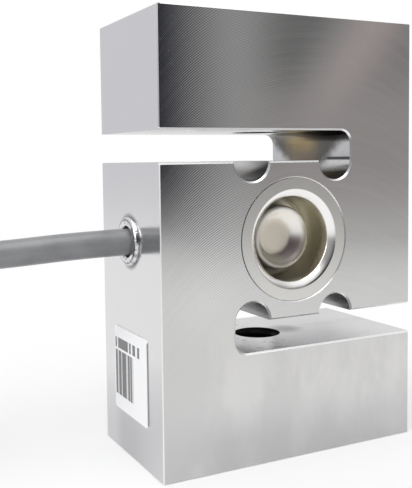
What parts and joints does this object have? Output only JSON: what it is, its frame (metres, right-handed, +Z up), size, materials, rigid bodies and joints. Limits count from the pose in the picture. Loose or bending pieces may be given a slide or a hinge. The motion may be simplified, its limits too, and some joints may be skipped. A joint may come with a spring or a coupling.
{
  "type": "s-beam strain gauge load cell",
  "caption": "S-shaped steel load cell with a tapped load hole at each end, sealed gauge bore with corrugated cups and a grey cable tied in a hank.",
  "frame": {"origin": "on the load axis, in the plane of the lower face that the cell stands on", "axes": "+Z up along the load axis, +X along the width away from the cable, front face with the cup looks along -Y"},
  "size_m": [0.1838, 0.0551, 0.0762],
  "materials": {
    "nickel_plated_steel": "milled and nickel plated, satin",
    "cup_steel": "drawn sheet, satin",
    "board_laminate": "glass laminate with solder mask",
    "bond_silicone": "set silicone",
    "bright_chrome": "bright plated",
    "seal_rubber": "moulded",
    "clamp_brass": "turned",
    "potting_resin": "cast resin",
    "label_film": "printed polyester film",
    "cable_jacket": "extruded, satin",
    "shrink_sleeve": "shrunk polyolefin",
    "tie_plastic": "coated",
    "tinned_screen": "twisted tinned strands",
    "white_insulation": "extruded",
    "red_insulation": "extruded",
    "black_insulation": "extruded",
    "green_insulation": "extruded",
    "gauge_film": "polyimide backing with a foil grid",
    "lead_copper": "enamelled copper",
    "chip_ceramic": "glazed chip"
  },
  "bodies": {
    "root": {"board_bond": "bond_silicone", "cable": "cable_jacket", "cable_clamp_ring": "clamp_brass", "cable_end_sleeve": "shrink_sleeve", "cable_ferrule": "bright_chrome", "cable_grommet": "seal_rubber", "cable_hank": "cable_jacket", "compensation_board": "board_laminate", "core_black": "black_insulation", "core_green": "green_insulation", "core_red": "red_insulation", "core_white": "white_insulation", "front_seal_cup": "cup_steel", "gauge_lead_lower_left_1": "lead_copper", "gauge_lead_lower_left_2": "lead_copper", "gauge_lead_lower_right_1": "lead_copper", "gauge_lead_lower_right_2": "lead_copper", "gauge_lead_upper_left_1": "lead_copper", "gauge_lead_upper_left_2": "lead_copper", "gauge_lead_upper_right_1": "lead_copper", "gauge_lead_upper_right_2": "lead_copper", "hank_tie_1": "tie_plastic", "hank_tie_2": "tie_plastic", "lead_black": "black_insulation", "lead_green": "green_insulation", "lead_red": "red_insulation", "lead_screen": "tinned_screen", "lead_white": "white_insulation", "potting_plug": "potting_resin", "rear_seal_cup": "cup_steel", "serial_label": "label_film", "span_resistor": "chip_ceramic", "spring_element": "nickel_plated_steel", "strain_gauge_lower_left": "gauge_film", "strain_gauge_lower_right": "gauge_film", "strain_gauge_upper_left": "gauge_film", "strain_gauge_upper_right": "gauge_film", "thermal_resistor": "chip_ceramic", "zero_resistor": "chip_ceramic"}
  },
  "joints": []
}
